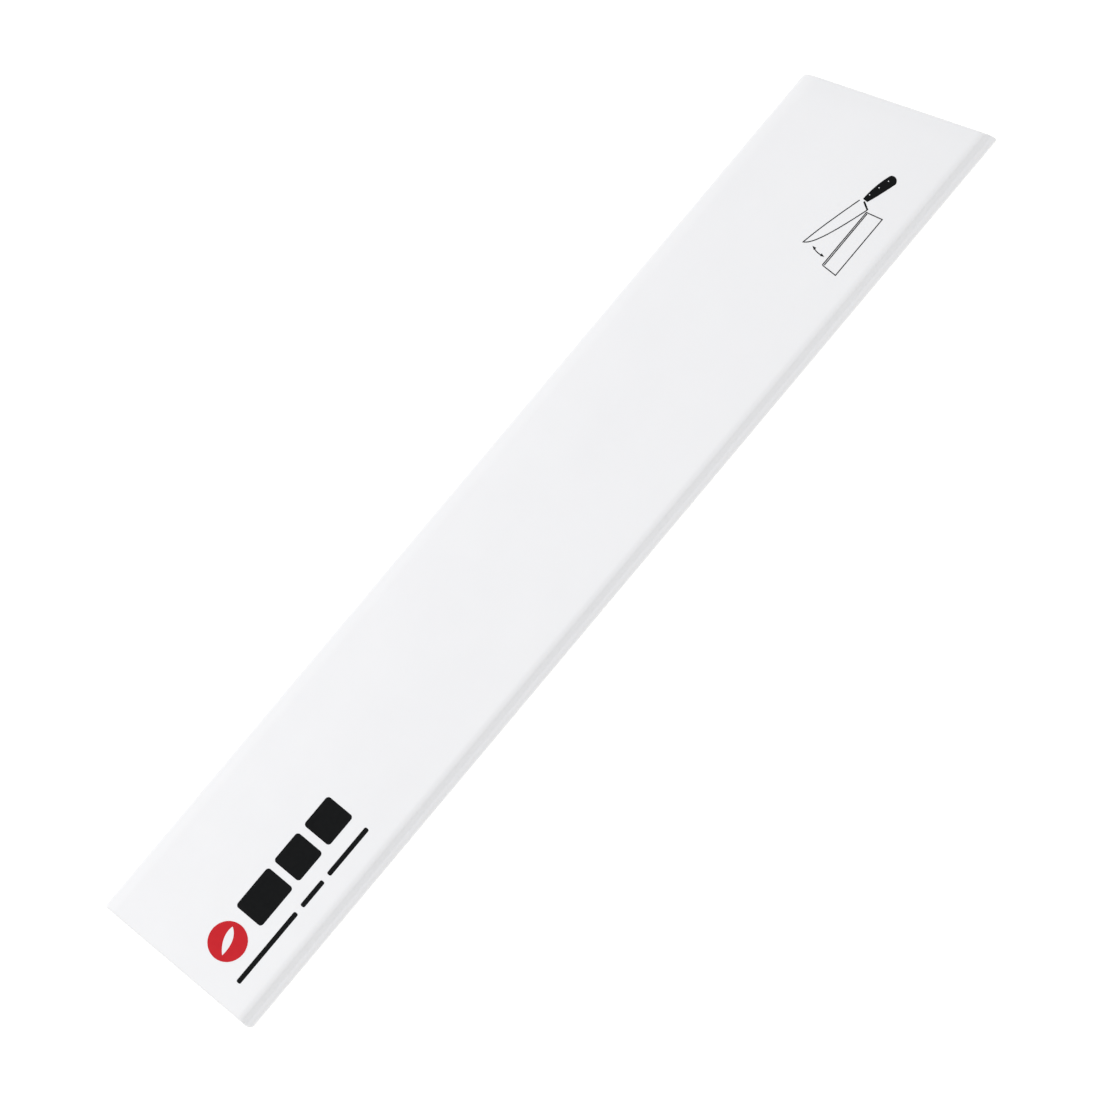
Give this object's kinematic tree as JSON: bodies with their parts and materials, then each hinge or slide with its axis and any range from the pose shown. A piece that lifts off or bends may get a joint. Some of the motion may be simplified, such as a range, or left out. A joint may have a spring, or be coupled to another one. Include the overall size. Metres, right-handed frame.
{
  "type": "knife blade guard",
  "caption": "Flat book-fold blade guard for a large kitchen knife: two magnetic leaves that open along a living-hinge spine, with a slanted heel end.",
  "frame": {"origin": "on the back leaf's outer face, under the middle of the closed guard's bounding box", "axes": "+X along the guard from the square tip end to the slanted heel end, +Y across it from the spine to the open mouth, +Z through its thickness from the back leaf to the front leaf"},
  "size_m": [0.305, 0.0524, 0.0068],
  "materials": {
    "outer_plastic": "satin",
    "inner_plastic": "matte",
    "magnet": "matte"
  },
  "bodies": {
    "back_leaf": {"back_cover": "outer_plastic", "back_magnet_strip": "magnet", "back_liner": "inner_plastic"},
    "spine": {"spine_strip": "outer_plastic", "back_hinge_web": "outer_plastic", "front_hinge_web": "outer_plastic"},
    "front_leaf": {"front_cover": "outer_plastic", "front_magnet_strip": "magnet", "front_liner": "inner_plastic"}
  },
  "joints": [
    {"name": "back_hinge", "type": "hinge", "parent": "back_leaf", "child": "spine", "pos_m": [0, -0.02421, 0.00136], "axis": [1, 0, 0], "range_deg": [0, 90], "deforming": ["back_hinge_web"]},
    {"name": "front_hinge", "type": "hinge", "parent": "spine", "child": "front_leaf", "pos_m": [0, -0.02421, 0.00544], "axis": [1, 0, 0], "range_deg": [0, 90], "deforming": ["front_hinge_web"]}
  ]
}
